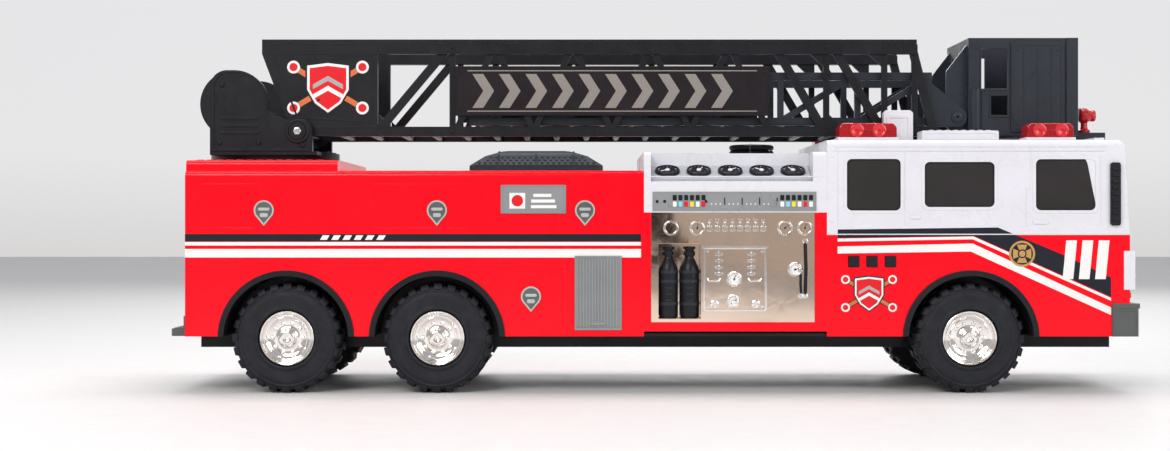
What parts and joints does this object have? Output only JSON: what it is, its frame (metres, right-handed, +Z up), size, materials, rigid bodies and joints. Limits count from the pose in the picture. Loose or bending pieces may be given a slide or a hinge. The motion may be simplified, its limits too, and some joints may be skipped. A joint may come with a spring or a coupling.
{
  "type": "toy fire engine",
  "caption": "Toy ladder fire engine with a turning turntable, a raising and extending ladder, a levelling bucket, rolling wheels and push buttons.",
  "frame": {"origin": "on the ground under the middle of the vehicle's box", "axes": "+X towards the cab's front, +Y towards the vehicle's left side, +Z up"},
  "size_m": [0.776, 0.198, 0.29],
  "materials": {
    "red_plastic": "bright red moulded plastic, glossy",
    "white_plastic": "cool white moulded plastic, glossy",
    "black_plastic": "near-black moulded plastic, satin",
    "slate_plastic": "dark slate moulded plastic, satin",
    "grey_plastic": "mid grey moulded plastic",
    "bumper_grey": "dark warm grey moulded plastic, satin",
    "dark_glazing": "dark smoked plastic, glossy",
    "vacuum_chrome": "vacuum-plated chrome on plastic",
    "tyre": "matt black soft plastic with moulded lugs",
    "steel": "plain bright steel rod",
    "red_lens": "transparent red plastic",
    "red_trim": "deep red moulded plastic",
    "clear_lens": "clear moulded lens",
    "sign": "printed label on a dark plate",
    "battery": "wrapped metal cell",
    "board": "green circuit board"
  },
  "bodies": {
    "truck": {"chassis": "black_plastic", "rear_body": "red_plastic", "pump_body": "red_plastic", "pump_house": "white_plastic", "cab_lower": "red_plastic", "cab_upper": "white_plastic", "arch_liners": "black_plastic", "side_windows": "dark_glazing", "windscreen": "dark_glazing", "pump_panels": "vacuum_chrome", "gauge_panels": "grey_plastic", "gauges": "black_plastic", "control_strips": "grey_plastic", "air_cylinders": "black_plastic", "roller_shutters": "grey_plastic", "first_aid_plates": "grey_plastic", "latch_badges": "grey_plastic", "hose_packs": "slate_plastic", "hose_coil": "slate_plastic", "light_pods": "red_lens", "roof_leds": "clear_lens", "ladder_cradle": "white_plastic", "roof_vents": "white_plastic", "mirrors": "black_plastic", "front_bumper": "bumper_grey", "headlight_bezels": "white_plastic", "headlights": "clear_lens", "front_grille": "vacuum_chrome", "rear_step": "bumper_grey", "tail_lights": "red_lens", "battery_cover": "black_plastic", "batteries": "battery", "speaker": "black_plastic", "circuit_board": "board", "button_board": "board", "screws": "steel"},
    "front_wheels": {"front_axle": "steel", "front_tyres": "tyre", "front_hubs": "vacuum_chrome"},
    "middle_wheels": {"middle_axle": "steel", "middle_tyres": "tyre", "middle_hubs": "vacuum_chrome"},
    "rear_wheels": {"rear_axle": "steel", "rear_tyres": "tyre", "rear_hubs": "vacuum_chrome"},
    "turntable": {"turntable": "black_plastic", "turntable_ring": "black_plastic", "ladder_pin": "black_plastic"},
    "ladder": {"ladder_sides": "black_plastic", "ladder_rungs": "black_plastic", "sign_plates": "sign"},
    "extension": {"fly_sides": "slate_plastic", "fly_rungs": "slate_plastic", "bucket_pin": "steel"},
    "bucket": {"bucket": "slate_plastic"},
    "nozzle": {"nozzle": "red_trim"},
    "button_rear": {"button_rear": "black_plastic"},
    "button_middle": {"button_middle": "black_plastic"},
    "button_front": {"button_front": "black_plastic"},
    "power_switch": {"power_switch": "white_plastic"}
  },
  "joints": [
    {"name": "front_wheels_spin", "type": "hinge", "parent": "truck", "child": "front_wheels", "pos_m": [0.2528, 0, 0.044], "axis": [0, 1, 0], "continuous": true},
    {"name": "middle_wheels_spin", "type": "hinge", "parent": "truck", "child": "middle_wheels", "pos_m": [-0.1744, 0, 0.044], "axis": [0, 1, 0], "continuous": true},
    {"name": "rear_wheels_spin", "type": "hinge", "parent": "truck", "child": "rear_wheels", "pos_m": [-0.2952, 0, 0.044], "axis": [0, 1, 0], "continuous": true},
    {"name": "turntable_slew", "type": "hinge", "parent": "truck", "child": "turntable", "pos_m": [-0.32, 0, 0.187], "axis": [0, 0, 1], "continuous": true},
    {"name": "ladder_raise", "type": "hinge", "parent": "turntable", "child": "ladder", "pos_m": [-0.292, 0, 0.212], "axis": [0, -1, 0], "range_deg": [0, 65]},
    {"name": "ladder_extend", "type": "slide", "parent": "ladder", "child": "extension", "axis": [1, 0, 0], "range_m": [0, 0.25]},
    {"name": "bucket_level", "type": "hinge", "parent": "extension", "child": "bucket", "pos_m": [0.2536, 0, 0.2244], "axis": [0, -1, 0], "range_deg": [-65, 0]},
    {"name": "nozzle_swivel", "type": "hinge", "parent": "bucket", "child": "nozzle", "pos_m": [0.3702, 0, 0.209], "axis": [0, 0, 1], "range_deg": [-50, 50]},
    {"name": "press_button_rear", "type": "slide", "parent": "truck", "child": "button_rear", "axis": [0, 1, 0], "range_m": [0, 0.001], "stiffness_N_per_m": 500, "springref_m": -0.0005},
    {"name": "press_button_middle", "type": "slide", "parent": "truck", "child": "button_middle", "axis": [0, 1, 0], "range_m": [0, 0.001], "stiffness_N_per_m": 500, "springref_m": -0.0005},
    {"name": "press_button_front", "type": "slide", "parent": "truck", "child": "button_front", "axis": [0, 1, 0], "range_m": [0, 0.001], "stiffness_N_per_m": 500, "springref_m": -0.0005},
    {"name": "power_switch_slide", "type": "slide", "parent": "truck", "child": "power_switch", "axis": [1, 0, 0], "range_m": [0, 0.004]}
  ],
  "couplings": [
    {"joint": "bucket_level", "follows": "ladder_raise", "ratio": -1}
  ]
}
